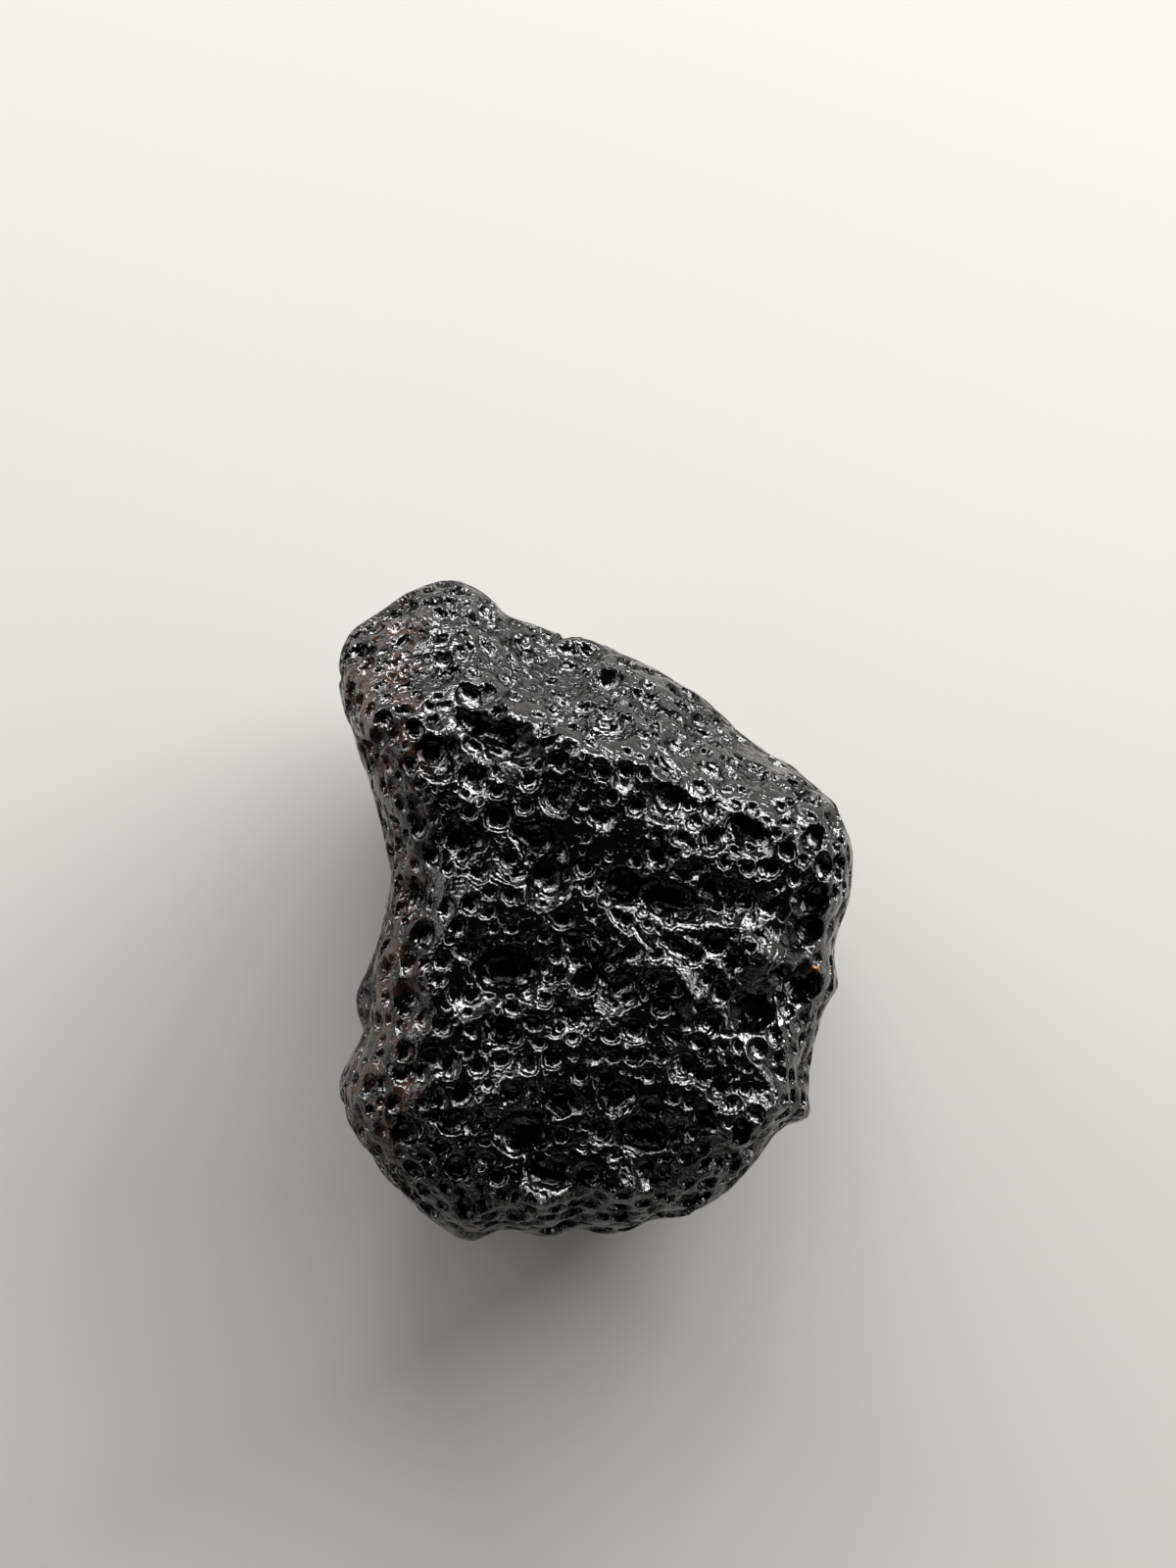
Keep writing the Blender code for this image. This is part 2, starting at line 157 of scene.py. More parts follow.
FACE_HOLLOWS: tuple[Hollow, ...] = (
    # The knob and the long cleft below it.
    Hollow(-3.0, 5.75, 1.5, 0.5, -28, 0.75),
    Hollow(-5.06, 5.06, 0.58, 0.55, 0, 0.5),
    Hollow(-5.12, 6.5, 0.3, 0.28, 0, 0.2),
    Hollow(-7.04, 8.32, 0.24, 0.22, 0, 0.16),
    Hollow(-6.3, 7.9, 0.28, 0.26, 0, 0.18),
    Hollow(-4.13, 8.19, 0.3, 0.28, 0, 0.2),
    Hollow(-4.74, 8.0, 0.34, 0.3, 20, 0.22),
    Hollow(-6.56, 6.11, 0.34, 0.31, 0, 0.22),
    Hollow(-4.06, 9.89, 0.27, 0.25, 0, 0.18),
    Hollow(-5.12, 9.95, 0.51, 0.26, 15, 0.24),
    Hollow(-2.05, 5.79, 0.27, 0.25, 0, 0.18),
    Hollow(-3.74, 4.29, 0.46, 0.42, 0, 0.3),
    Hollow(-2.94, 3.84, 0.27, 0.25, 0, 0.18),
    # The upper half of the face.
    Hollow(-1.25, 3.71, 0.34, 0.31, 0, 0.22),
    Hollow(-4.26, 2.46, 0.52, 0.45, 70, 0.34),
    Hollow(-2.62, 1.73, 0.34, 0.3, 0, 0.22),
    Hollow(-1.79, 2.46, 0.53, 0.46, 10, 0.36),
    Hollow(-1.5, 1.28, 0.64, 0.6, 0, 0.6),
    Hollow(0.16, 3.1, 0.33, 0.3, 0, 0.22),
    Hollow(0.67, 3.14, 0.24, 0.22, 0, 0.16),
    Hollow(1.02, 4.51, 0.35, 0.32, 60, 0.2),
    Hollow(0.45, 5.47, 0.38, 0.34, 0, 0.2),
    Hollow(0.51, 6.3, 0.38, 0.34, 0, 0.2),
    Hollow(2.37, 3.65, 0.62, 0.52, 0, 0.42),
    Hollow(5.18, 4.61, 0.38, 0.34, 0, 0.3),
    Hollow(7.0, 3.46, 0.27, 0.25, 0, 0.18),
    Hollow(4.96, 2.59, 0.83, 0.42, -35, 0.42),
    Hollow(3.74, 2.46, 0.34, 0.31, 0, 0.24),
    Hollow(2.75, 2.4, 0.3, 0.28, 0, 0.18),
    Hollow(1.34, 1.7, 0.27, 0.25, 0, 0.18),
    Hollow(1.98, 1.95, 0.38, 0.5, 0, 0.34),
    Hollow(3.36, 1.54, 0.3, 0.28, 0, 0.2),
    Hollow(7.0, 2.46, 0.4, 0.34, 60, 0.28),
    # The middle band.
    Hollow(0.93, 1.02, 0.53, 0.48, 0, 0.45),
    Hollow(2.43, 0.64, 0.96, 0.45, -15, 0.5),
    Hollow(6.94, 0.45, 0.6, 0.52, 70, 0.48),
    Hollow(6.82, -0.54, 0.53, 0.48, 0, 0.42),
    Hollow(6.62, -2.3, 0.7, 0.66, 0, 0.65),
    Hollow(5.12, -3.1, 0.72, 0.45, 5, 0.5),
    Hollow(2.75, -1.1, 0.5, 0.3, -10, 0.22),
    Hollow(-2.78, -1.8, 0.98, 0.8, 0, 0.42),
    Hollow(-2.94, -3.68, 0.43, 0.39, 0, 0.32),
    Hollow(-3.8, -3.58, 0.24, 0.22, 0, 0.14),
    # The scalloped lower half.
    Hollow(-5.06, -4.54, 0.36, 0.32, 0, 0.26),
    Hollow(-5.98, -5.09, 0.31, 0.28, 0, 0.2),
    Hollow(-1.09, -5.92, 0.49, 0.45, 0, 0.38),
    Hollow(-2.34, -6.94, 0.78, 0.7, 0, 0.5),
    Hollow(-4.42, -6.56, 0.43, 0.38, 0, 0.32),
    Hollow(-5.89, -6.94, 0.48, 0.38, 10, 0.3),
    Hollow(0.67, -5.79, 0.5, 0.44, -20, 0.38),
    Hollow(1.5, -6.98, 0.8, 0.6, -15, 0.45),
    Hollow(4.7, -6.78, 0.33, 0.51, -10, 0.38),
    Hollow(3.81, -6.59, 0.27, 0.25, 0, 0.18),
    Hollow(3.14, -6.85, 0.27, 0.25, 0, 0.18),
    Hollow(3.94, -5.41, 0.28, 0.26, 20, 0.2),
    Hollow(-1.41, -8.3, 0.66, 0.32, 0, 0.3),
)

FACE_GROOVES: tuple[Groove, ...] = (
    Groove(-0.5, -0.7, 0.6, -2.3, 0.42, 0.2),
    Groove(-0.1, -0.6, 0.25, -1.2, 0.3, 0.13),
    Groove(0.0, -0.05, 0.75, -0.75, 0.3, 0.12),
    Groove(0.5, 0.25, 1.2, -0.65, 0.3, 0.12),
    Groove(0.75, -1.15, 1.2, -1.85, 0.3, 0.12),
    Groove(1.3, -0.3, 1.95, -1.2, 0.3, 0.12),
)

PIT_SIZES: tuple[PitSize, ...] = (
    PitSize(0.4, 0.52, (0.5, 0.8), 220),
    PitSize(0.3, 0.4, (0.45, 0.8), 1500),
    PitSize(0.2, 0.3, (0.4, 0.75), 9000),
)


def add_node(
    tree: bpy.types.NodeTree,
    kind: str,
    settings: dict[str, object] | None = None,
    links: dict[str | int, object] | None = None,
) -> bpy.types.Node:
    """Adds a node with its settings and what feeds it.

    Args:
        tree: The node tree that gets the node.
        kind: The node's type, such as ShaderNodeMath.
        settings: Values of the node's own properties.
        links: For each input, the value it holds or the output that feeds it.

    Returns:
        The new node.
    """
    node = tree.nodes.new(kind)
    for name, value in (settings or {}).items():
        setattr(node, name, value)
    for name, value in (links or {}).items():
        if isinstance(value, bpy.types.NodeSocket):
            tree.links.new(value, node.inputs[name])
        else:
            node.inputs[name].default_value = value
    return node


def linear(hex_colour: str) -> tuple[float, float, float, float]:
    """Turns an sRGB hex colour to linear.

    Args:
        hex_colour: Six hex digits after a hash sign.

    Returns:
        Linear red, green and blue, and 1 for alpha.
    """
    parts = [int(hex_colour[start:start + 2], 16) / 255 for start in (1, 3, 5)]
    red, green, blue = (
        part / 12.92 if part <= 0.04045 else ((part + 0.055) / 1.055) ** 2.4 for part in parts
    )
    return red, green, blue, 1.0


@dataclass(frozen=True)
class NaturalGlass:
    """Natural impact glass, chilled from a melt and etched in the ground.

    The melt gives it a black body and a mirror-like gloss. Etching leaves the pits
    glossy, and rubbing dulls the crests between them a little. One flank has a brown
    reflection painted into its colour, and the ground has left an ochre crumb at one rim.
    The wrinkles and the flow lines are drawn coarser than the real ones, which would be
    too fine to show.
    """

    name: str = "natural_glass_etched"
    body: str = "#030303"
    # Painted reflection: a warm brown tint put into the left-hand flank's colour.
    painted_brown_reflection: str = "#35221b"
    soil_colour: str = "#7d5524"
    soil_at_mm: tuple[float, float] = (7.1, -1.8)
    soil_reach_mm: float = 0.14
    soil_above_mm: float = 6.0
    soil_crumbs: Mottle = Mottle(7.0, 3.0, 0.45, 0.52)
    soil_roughness: float = 0.6
    ior: float = 1.5
    pit_roughness: float = 0.04
    crest_roughness: float = 0.07
    gloss_depth_mm: float = 0.12
    patch_roughness: float = 0.07
    dull_patches: Mottle = Mottle(1 / 1.1, 4.0, 0.45, 0.7)
    pit_layers: tuple[PitLayer, ...] = (
        PitLayer(0.62, 0.35, 0.62, 0.55, 0.45),
        PitLayer(0.4, 0.35, 0.62, 0.5, 0.5),
        PitLayer(0.22, 0.3, 0.55, 0.3, 0.6),
    )
    floor_depth_mm: float = 0.16
    floor_share: float = 0.12
    flank_top_mm: float = 9.2
    face_edge_mm: float = 10.3
    face_pit_share: float = 0.6
    bend_mm: float = 0.16
    bend: Mottle = Mottle(2.2, 2.0)
    streak_mm: float = 0.16
    streak_run_mm: float = 1.6
    streak_height_mm: float = 0.05
    streak_noise: Mottle = Mottle(1.0, 2.0)
    streak_least_share: float = 0.1
    streaks_from_mm: float = -7.6
    streaks_full_mm: float = -9.4
    ring_centre_mm: float = 1.7
    ring_step_mm: float = 0.15
    ring_height_mm: float = 0.007
    ring_smoothness: float = 0.3
    ring_patches: Mottle = Mottle(0.6, 1.0, 0.45, 0.6)
    wrinkles: Mottle = Mottle(1 / 0.12, 3.0)
    wrinkle_height_mm: float = 0.012
    # Where the painted brown reflection lies: the left-hand flank, fuller higher up, in patches.
    reflection_edge_mm: float = -4.9
    reflection_full_mm: float = -6.2
    reflection_share: float = 0.8
    reflection_low_mm: float = 5.5
    reflection_high_mm: float = 8.5
    reflection_low_share: float = 0.15
    reflection_patches: Mottle = Mottle(1.3, 5.0, 0.46, 0.62)

    def material(self) -> bpy.types.Material:
        """Builds the node material.

        Returns:
            The material.
        """
        glass = bpy.data.materials.new(self.name)
        glass.use_nodes = True
        tree = glass.node_tree
        shader = tree.nodes["Principled BSDF"]
        place = add_node(tree, "ShaderNodeTexCoord").outputs["Object"]
        in_mm = add_node(
            tree, "ShaderNodeVectorMath", {"operation": "SCALE"}, {0: place, "Scale": MM_PER_METRE}
        ).outputs[0]
        shader.inputs["IOR"].default_value = self.ior
        tree.links.new(self.colour(tree, in_mm), shader.inputs["Base Color"])
        tree.links.new(self.roughness(tree, in_mm), shader.inputs["Roughness"])
        tree.links.new(self.relief(tree, in_mm), shader.inputs["Normal"])
        return glass

    def colour(self, tree: bpy.types.NodeTree, in_mm: bpy.types.NodeSocket) -> bpy.types.NodeSocket:
        """Adds the black body, a faint painted brown reflection on the left-hand flank and the
        soil.

        Args:
            tree: The material's node tree.
            in_mm: The place on the stone, in millimetres.

        Returns:
            The colour.
        """
        place = add_node(tree, "ShaderNodeSeparateXYZ", {}, {0: in_mm}).outputs
        # Painted reflection: the left-hand flank's colour is tinted brown, more so higher up.
        flank = add_node(
            tree,
            RANGE,
            SMOOTH_RANGE,
            {
                "Value": place["X"],
                "From Min": self.reflection_edge_mm,
                "From Max": self.reflection_full_mm,
                "To Min": 0.0,
                "To Max": self.reflection_share,
            },
        ).outputs[0]
        high = add_node(
            tree,
            RANGE,
            SMOOTH_RANGE,
            {
                "Value": place["Z"],
                "From Min": self.reflection_low_mm,
                "From Max": self.reflection_high_mm,
                "To Min": self.reflection_low_share,
                "To Max": 1.0,
            },
        ).outputs[0]
        patches = add_node(tree, NOISE, {}, self.reflection_patches.inputs(in_mm)).outputs["Fac"]
        spots = add_node(tree, RANGE, {}, self.reflection_patches.range_of(patches)).outputs[0]
        spotted = add_node(tree, MATHS, MULTIPLY, {0: flank, 1: spots}).outputs[0]
        painted_reflection = add_node(tree, MATHS, MULTIPLY, {0: spotted, 1: high}).outputs[0]
        reflected_colour = add_node(
            tree,
            "ShaderNodeMix",
            {"data_type": "RGBA"},
            {0: painted_reflection, 6: linear(self.body), 7: linear(self.painted_brown_reflection)},
        ).outputs[2]
        return add_node(
            tree,
            "ShaderNodeMix",
            {"data_type": "RGBA"},
            {0: self.soil(tree, in_mm), 6: reflected_colour, 7: linear(self.soil_colour)},
        ).outputs[2]

    def soil(self, tree: bpy.types.NodeTree, in_mm: bpy.types.NodeSocket) -> bpy.types.NodeSocket:
        """Adds the crumbs of ochre soil that cling to the rim of one hollow.

        Args:
            tree: The material's node tree.
            in_mm: The place on the stone, in millimetres.

        Returns:
            1 where the soil covers the glass and 0 elsewhere.
        """
        flat = add_node(
            tree,
            "ShaderNodeVectorMath",
            MULTIPLY,
            {0: in_mm, 1: (1.0, 1.0, 0.0)},
        ).outputs[0]
        far = add_node(
            tree,
            "ShaderNodeVectorMath",
            {"operation": "DISTANCE"},
            {0: flat, 1: (*self.soil_at_mm, 0.0)},
        ).outputs["Value"]
        crumbs = add_node(tree, NOISE, {}, self.soil_crumbs.inputs(in_mm)).outputs["Fac"]
        ragged = add_node(tree, MATHS, ADD, {0: far, 1: crumbs}).outputs[0]
        patch = add_node(
            tree,
            RANGE,
            {},
            {
                "Value": ragged,
                "From Min": self.soil_reach_mm + self.soil_crumbs.starts,
                "From Max": self.soil_reach_mm + self.soil_crumbs.full,
                "To Min": 1.0,
                "To Max": 0.0,
            },
        ).outputs[0]
        height = add_node(tree, "ShaderNodeSeparateXYZ", {}, {0: in_mm}).outputs["Z"]
        on_face = add_node(
            tree, MATHS, {"operation": "GREATER_THAN"}, {0: height, 1: self.soil_above_mm}
        ).outputs[0]
        return add_node(tree, MATHS, MULTIPLY, {0: patch, 1: on_face}).outputs[0]

    def roughness(
        self, tree: bpy.types.NodeTree, in_mm: bpy.types.NodeSocket
    ) -> bpy.types.NodeSocket:
        """Adds glossy pits, rubbed crests, duller patches and the matt soil.

        Args:
            tree: The material's node tree.
            in_mm: The place on the stone, in millimetres.

        Returns:
            The roughness.
        """
        depth = add_node(
            tree, "ShaderNodeAttribute", {"attribute_name": DEPTH_ATTRIBUTE}
        ).outputs["Fac"]
        base = add_node(
            tree,
            RANGE,
            {},
            {
                "Value": depth,
                "From Min": 0.0,
                "From Max": self.gloss_depth_mm,
                "To Min": self.crest_roughness,
                "To Max": self.pit_roughness,
            },
        ).outputs[0]
        patches = add_node(tree, NOISE, {}, self.dull_patches.inputs(in_mm)).outputs["Fac"]
        dull = add_node(
            tree,
            RANGE,
            {},
            {**self.dull_patches.range_of(patches), "To Max": self.patch_roughness},
        ).outputs[0]
        glass = add_node(tree, MATHS, ADD, {0: base, 1: dull}).outputs[0]
        matt = add_node(
            tree, MATHS, MULTIPLY, {0: self.soil(tree, in_mm), 1: self.soil_roughness}
        ).outputs[0]
        return add_node(tree, MATHS, ADD, {0: glass, 1: matt}).outputs[0]

    def relief(self, tree: bpy.types.NodeTree, in_mm: bpy.types.NodeSocket) -> bpy.types.NodeSocket:
        """Adds the relief that is too fine for the mesh: tiny pits, rings, ridges and wrinkles.

        Args:
            tree: The material's node tree.
            in_mm: The place on the stone, in millimetres.

        Returns:
            The bumped normal.
        """
        bend = add_node(tree, NOISE, {}, self.bend.inputs(in_mm)).outputs["Color"]
        bent = add_node(
            tree,
            "ShaderNodeVectorMath",
            {"operation": "MULTIPLY_ADD"},
            {0: bend, 1: (self.bend_mm,) * 3, 2: in_mm},
        ).outputs[0]
        depth = add_node(
            tree, "ShaderNodeAttribute", {"attribute_name": DEPTH_ATTRIBUTE}
        ).outputs["Fac"]
        kept = add_node(
            tree,
            RANGE,
            {},
            {
                "Value": depth,
                "From Min": self.floor_depth_mm / 2,
                "From Max": self.floor_depth_mm,
                "To Min": 1.0,
                "To Max": self.floor_share,
            },
        ).outputs[0]
        spread = self.spread(tree, in_mm)
        heights = [
            add_node(
                tree, MATHS, MULTIPLY, {0: self.pits(tree, bent, layer, spread), 1: kept}
            ).outputs[0]
            for layer in self.pit_layers
        ]
        heights.append(self.rings(tree, bent))
        heights.append(self.streaks(tree, in_mm))
        wrinkles = add_node(tree, NOISE, {}, self.wrinkles.inputs(bent)).outputs["Fac"]
        tall = self.wrinkle_height_mm * NOISE_STRETCH
        heights.append(add_node(tree, MATHS, MULTIPLY, {0: wrinkles, 1: tall}).outputs[0])
        total = heights[0]
        for height in heights[1:]:
            total = add_node(tree, MATHS, ADD, {0: total, 1: height}).outputs[0]
        return add_node(
            tree,
            "ShaderNodeBump",
            {},
            {"Height": total, "Strength": 1.0, "Distance": 1 / MM_PER_METRE},
        ).outputs[0]

    def spread(self, tree: bpy.types.NodeTree, in_mm: bpy.types.NodeSocket) -> bpy.types.NodeSocket:
        """Says how far the small pits spread: they touch on the flanks and thin out on the face.

        Args:
            tree: The material's node tree.
            in_mm: The place on the stone, in millimetres.

        Returns:
            1 on the flanks, and less on the face.
        """
        height = add_node(tree, "ShaderNodeSeparateXYZ", {}, {0: in_mm}).outputs["Z"]
        return add_node(
            tree,
            RANGE,
            SMOOTH_RANGE,
            {
                "Value": height,
                "From Min": self.flank_top_mm,
                "From Max": self.face_edge_mm,
                "To Min": 1.0,
                "To Max": self.face_pit_share,
            },
        ).outputs[0]

    def pits(
        self,
        tree: bpy.types.NodeTree,
        place: bpy.types.NodeSocket,
        layer: PitLayer,
        spread: bpy.types.NodeSocket,
    ) -> bpy.types.NodeSocket:
        """Adds round pits, one in each cell, with steep walls and a flat floor.

        Args:
            tree: The material's node tree.
            place: The place on the stone, in millimetres.
            layer: The pits' size and form.
            spread: The share of their full size that they have here.

        Returns:
            Their height, in millimetres.
        """
        cells = add_node(
            tree, "ShaderNodeTexVoronoi", {}, {"Vector": place, "Scale": 1 / layer.cell}
        ).outputs
        pick = add_node(tree, "ShaderNodeSeparateColor", {}, {0: cells["Color"]}).outputs[0]
        full = add_node(
            tree,
            RANGE,
            {},
            {"Value": pick, "To Min": layer.least_share, "To Max": layer.most_share},
        ).outputs[0]
        radius = add_node(tree, MATHS, MULTIPLY, {0: full, 1: spread}).outputs[0]
        share = add_node(
            tree, MATHS, {"operation": "DIVIDE"}, {0: cells["Distance"], 1: radius}
        ).outputs[0]
        square = add_node(tree, MATHS, MULTIPLY, {0: share, 1: share}).outputs[0]
        left = add_node(tree, MATHS, {"operation": "SUBTRACT"}, {0: 1.0, 1: square}).outputs[0]
        inside = add_node(tree, MATHS, {"operation": "MAXIMUM"}, {0: left, 1: 0.0}).outputs[0]
        bowl = add_node(
            tree, MATHS, {"operation": "POWER"}, {0: inside, 1: layer.wall_power}
        ).outputs[0]
        deep = add_node(tree, MATHS, MULTIPLY, {0: bowl, 1: radius}).outputs[0]
        depth = -layer.cell * layer.depth_share
        return add_node(tree, MATHS, MULTIPLY, {0: deep, 1: depth}).outputs[0]

    def streaks(
        self, tree: bpy.types.NodeTree, in_mm: bpy.types.NodeSocket
    ) -> bpy.types.NodeSocket:
        """Adds the fine ridges that run down over the stone's lower edge.

        Args:
            tree: The material's node tree.
            in_mm: The place on the stone, in millimetres.

        Returns:
            Their height, in millimetres.
        """
        drawn = add_node(
            tree,
            "ShaderNodeVectorMath",
            MULTIPLY,
            {0: in_mm, 1: (1 / self.streak_mm, 1 / self.streak_run_mm, 1 / self.streak_run_mm)},
        ).outputs[0]
        ridges = add_node(tree, NOISE, {}, self.streak_noise.inputs(drawn)).outputs["Fac"]
        along = add_node(tree, "ShaderNodeSeparateXYZ", {}, {0: in_mm}).outputs["Y"]
        where = add_node(
            tree,
            RANGE,
            SMOOTH_RANGE,
            {
                "Value": along,
                "From Min": self.streaks_from_mm,
                "From Max": self.streaks_full_mm,
                "To Min": self.streak_least_share,
                "To Max": 1.0,
            },
        ).outputs[0]
        tall = add_node(
            tree, MATHS, MULTIPLY, {0: ridges, 1: self.streak_height_mm * NOISE_STRETCH}
        ).outputs[0]
        return add_node(tree, MATHS, MULTIPLY, {0: tall, 1: where}).outputs[0]

    def rings(self, tree: bpy.types.NodeTree, place: bpy.types.NodeSocket) -> bpy.types.NodeSocket:
        """Adds the fine flow lines that run in rings round some places of the stone.

        Args:
            tree: The material's node tree.
            place: The place on the stone, in millimetres.

        Returns:
            Their height, in millimetres.
        """
        far = add_node(
            tree,
            "ShaderNodeTexVoronoi",
            {"feature": "SMOOTH_F1"},
            {"Vector": place, "Scale": 1 / self.ring_centre_mm, "Smoothness": self.ring_smoothness},
        ).outputs["Distance"]
        turns = 2 * math.pi * self.ring_centre_mm / self.ring_step_mm
        angle = add_node(tree, MATHS, MULTIPLY, {0: far, 1: turns}).outputs[0]
        wave = add_node(tree, MATHS, {"operation": "SINE"}, {0: angle}).outputs[0]
        patches = add_node(tree, NOISE, {}, self.ring_patches.inputs(place)).outputs["Fac"]
        where = add_node(tree, RANGE, {}, self.ring_patches.range_of(patches)).outputs[0]
        patched = add_node(tree, MATHS, MULTIPLY, {0: wave, 1: where}).outputs[0]
        return add_node(tree, MATHS, MULTIPLY, {0: patched, 1: self.ring_height_mm}).outputs[0]


class Edge(Enum):
    """How a pit's wall meets its floor."""

    BOWL = "bowl"
    STEEP = "steep"
    STEPPED = "stepped"

    def profile(self, share: np.ndarray) -> np.ndarray:
        """Gives a pit's depth from its middle to its rim.

        Args:
            share: 0 in the middle and 1 on the rim.

        Returns:
            The depth, 1 at the deepest.
        """
        if self is Edge.BOWL:
            return (1 - share**2) ** BOWL_POWER
        if self is Edge.STEEP:
            return (1 - share**2) ** STEEP_POWER
        inner = np.clip(1 - (share / STEP_RADIUS) ** 2, 0, 1)
        outer_depth = STEP_DEPTH * (1 - share**2) ** STEP_POWER
        return outer_depth + (1 - STEP_DEPTH) * inner**INNER_POWER


@dataclass
class Surface:
    """The refined surface while it is cut, one row for each point, in millimetres.

    The points move with each cut and the smooth ones stay. The warp is a small sideways
    shift that makes the mouths of the pits uneven, and the depth is that of the deepest
    pit at each point.
    """

    points: np.ndarray
    smooth: np.ndarray
    normals: np.ndarray
    warp: np.ndarray
    depth: np.ndarray
    tree: BVHTree


@dataclass
class TektiteStone:
    """The stone as one mesh, refined from its solid, in millimetres until it is placed."""

    weld_distance: float = 0.001
    facet_rounds: int = 2
    voxel: float = 0.052
    smoothing_rounds: int = 4
    unevenness_size: float = 0.9
    unevenness_height: float = 0.05
    ring_share: float = 1.25
    ring_points: int = 12
    above_stone: float = 50.0
    hollow_reach_share: float = 1.2
    hollow_depths_below: float = 3.0
    hollow_margin_below: float = 1.0
    pit_seed: int = 11
    pit_stretch: tuple[float, float] = (0.7, 1.0)
    pit_reach_share: float = 1.5
    rim_band: tuple[float, float] = (0.8, 1.3)
    spacing_share: float = 0.95
    hollow_rim_share: float = 0.8
    face_from: float = 6.0
    warp_seed: int = 5
    warp_size: float = 0.5
    warp_reach: float = 0.07
    bare_size: float = 1.6
    bare_below: float = -0.42
    step_chance: float = 0.45
    triangles: int = 196000
    face_share: float = 0.65
    height_bands: int = 4

    def build(self) -> bpy.types.Object:
        """Makes the stone's mesh and places it in metres.

        Returns:
            The stone, dressed and tied to its solid.
        """
        stone = self.copy_of_solid()
        self.refine(stone)
        surface = self.surface_of(stone.data)
        for hollow in FACE_HOLLOWS:
            self.cut_hollow(surface, hollow)
        for groove in FACE_GROOVES:
            self.cut_groove(surface, groove)
        self.cut_scattered_pits(surface)
        self.write_points(stone.data, surface.points)
        attribute = stone.data.attributes.new(DEPTH_ATTRIBUTE, "FLOAT", "POINT")
        attribute.data.foreach_set("value", surface.depth.astype(np.float32))
        fine_normals = self.normals_of(stone.data)
        self.thin(stone)
        kept_points = self.points_of(stone.data)
        kept_normals = self.nearest_normals(kept_points, surface.points, fine_normals)
        self.place(stone)
        stone.data.normals_split_custom_set_from_vertices(kept_normals.tolist())
        return stone

    def surface_of(self, mesh: bpy.types.Mesh) -> Surface:
        """Reads the refined mesh before it is cut.

        Args:
            mesh: The refined mesh.

        Returns:
            Its points and what the cuts need to know about them.
        """
        points = self.points_of(mesh)
        # Without a seed, noise_vector gives other values in each run.
        noise.seed_set(self.warp_seed)
        shifts = [noise.noise_vector(Vector(point) / self.warp_size) for point in points]
        tree = BVHTree.FromPolygons(
            [Vector(point) for point in points], [tuple(face.vertices) for face in mesh.polygons]
        )
        return Surface(
            points=points,
            smooth=points.copy(),
            normals=self.normals_of(mesh),
            warp=np.array(shifts) * self.warp_reach,
            depth=np.zeros(len(points)),
            tree=tree,
        )

    def nearest_normals(
        self, wanted: np.ndarray, points: np.ndarray, normals: np.ndarray
    ) -> np.ndarray:
        """Looks up the fine mesh's normals for the points of the thinned one.

        Args:
            wanted: The thinned mesh's points.
            points: The fine mesh's points.
            normals: The fine mesh's normals.

        Returns:
            One normal for each wanted point.
        """
        lookup = self.lookup_of(points)
        return np.array([normals[lookup.find(point)[1]] for point in wanted])

    def lookup_of(self, points: np.ndarray) -> kdtree.KDTree:
        """Makes the lookup that finds the points near a place.

        Args:
            points: The points to be found.

        Returns:
            The lookup, ready for use.
        """
        lookup = kdtree.KDTree(len(points))
        for index, point in enumerate(points):
            lookup.insert(point, index)
        lookup.balance()
        return lookup

    def copy_of_solid(self) -> bpy.types.Object:
        """Copies the solid's mesh, welded and in millimetres.

        Returns:
            The copy, with no modifier and no material.
        """
        grid = bmesh.new()
        grid.from_mesh(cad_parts[STONE_NODE].data)
        bmesh.ops.scale(grid, vec=(MM_PER_METRE,) * 3, verts=grid.verts)
        bmesh.ops.remove_doubles(grid, verts=grid.verts, dist=self.weld_distance)
        mesh = bpy.data.meshes.new("tektite_stone")
        grid.to_mesh(mesh)
        grid.free()
        stone = bpy.data.objects.new("tektite_stone", mesh)
        bpy.context.scene.collection.objects.link(stone)
        return stone

    def apply_modifiers(self, stone: bpy.types.Object) -> None:
        """Turns the modifiers into the mesh itself.

        Args:
            stone: The object whose modifiers are applied.
        """
        graph = bpy.context.evaluated_depsgraph_get()
        mesh = bpy.data.meshes.new_from_object(stone.evaluated_get(graph))
        stone.modifiers.clear()
        stone.data = mesh

    def refine(self, stone: bpy.types.Object) -> None:
        """Rounds the solid's facets and gives the mesh an even, fine grid.

        Args:
            stone: The copy of the solid.
        """
        rounded = stone.modifiers.new("rounded", "SUBSURF")
        rounded.levels = rounded.render_levels = self.facet_rounds
        even = stone.modifiers.new("even", "REMESH")
        even.mode = "VOXEL"
        even.voxel_size = self.voxel
        softened = stone.modifiers.new("softened", "SMOOTH")
        softened.iterations = self.smoothing_rounds
        self.apply_modifiers(stone)
        points, normals = self.points_of(stone.data), self.normals_of(stone.data)
        lift = [noise.noise(Vector(point) / self.unevenness_size) for point in points]
        points += normals * (np.array(lift) * self.unevenness_height)[:, None]
        self.write_points(stone.data, points)
        log.info("refined mesh: %d points", len(points))

    def points_of(self, mesh: bpy.types.Mesh) -> np.ndarray:
        """Reads the mesh's points.

        Args:
            mesh: The mesh.

        Returns:
            One row for each point.
        """
        values = np.empty(len(mesh.vertices) * 3, np.float32)
        mesh.vertices.foreach_get("co", values)
        return values.reshape(-1, 3).astype(float)

    def normals_of(self, mesh: bpy.types.Mesh) -> np.ndarray:
        """Reads the mesh's point normals.

        Args:
            mesh: The mesh.

        Returns:
            One row for each point.
        """
        values = np.empty(len(mesh.vertices) * 3, np.float32)
        mesh.vertices.foreach_get("normal", values)
        return values.reshape(-1, 3).astype(float)

    def write_points(self, mesh: bpy.types.Mesh, points: np.ndarray) -> None:
        """Writes the mesh's points."""
        mesh.vertices.foreach_set("co", points.astype(np.float32).ravel())
        mesh.update()

